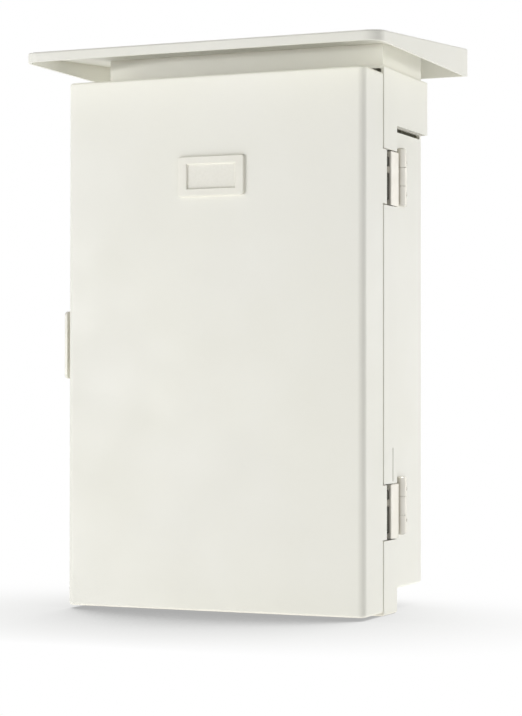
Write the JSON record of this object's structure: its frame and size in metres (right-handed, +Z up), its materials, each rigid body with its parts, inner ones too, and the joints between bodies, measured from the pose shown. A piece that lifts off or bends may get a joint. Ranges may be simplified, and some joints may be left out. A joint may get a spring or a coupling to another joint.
{
  "type": "roadside utility cabinet",
  "caption": "Shallow outdoor utility cabinet for a wall or pole: moulded tub and deep side-hinged door, overhanging shed roof, vent hoods, snap latch and rails at the back.",
  "frame": {"origin": "centre of the wall fixing pattern, on the plane where the backs of the rails meet the wall", "axes": "+Z up, -Y out of the door's front face, +X towards the hinge side"},
  "size_m": [0.356, 0.25, 0.5405],
  "materials": {
    "shell": "satin moulded, warm ivory",
    "trim": "satin moulded, warm grey",
    "card": "plain card, matt",
    "stainless": "brushed",
    "galvanised": "zinc coated",
    "rubber": "matt",
    "screen": "woven, matt"
  },
  "bodies": {
    "cabinet": {"tub": "shell", "roof": "shell", "roof_screws": "stainless", "roof_sealing_washers": "rubber", "vent_hood_right": "shell", "vent_hood_left": "shell", "insect_screen_right": "screen", "insect_screen_left": "screen", "vent_hood_screws": "stainless", "hinge_body_leaf_upper": "stainless", "hinge_body_leaf_lower": "stainless", "hinge_pins": "stainless", "hinge_body_screws": "stainless", "latch_base": "trim", "latch_pin": "stainless", "latch_base_screws": "stainless", "mounting_plate": "galvanised", "mounting_plate_screws": "stainless", "wall_rail_upper": "galvanised", "wall_rail_lower": "galvanised", "rail_bolts": "stainless", "rail_sealing_washers": "rubber", "rail_nuts": "galvanised", "cable_grommets": "rubber"},
    "door": {"door": "shell", "door_gasket": "rubber", "name_plate_frame": "trim", "name_plate_card": "card", "hinge_door_leaf_upper": "stainless", "hinge_door_leaf_lower": "stainless", "hinge_notch_seals": "rubber", "hinge_door_screws": "stainless", "latch_keeper": "trim", "latch_keeper_screws": "stainless"},
    "latch": {"latch_lever": "trim"}
  },
  "joints": [
    {"name": "door_hinge", "type": "hinge", "parent": "cabinet", "child": "door", "pos_m": [0.1468, -0.106, 0], "axis": [0, 0, 1], "range_deg": [0, 120]},
    {"name": "latch_pivot", "type": "hinge", "parent": "cabinet", "child": "latch", "pos_m": [-0.1563, -0.134, -0.0225], "axis": [0, 0, -1], "range_deg": [0, 110]}
  ]
}
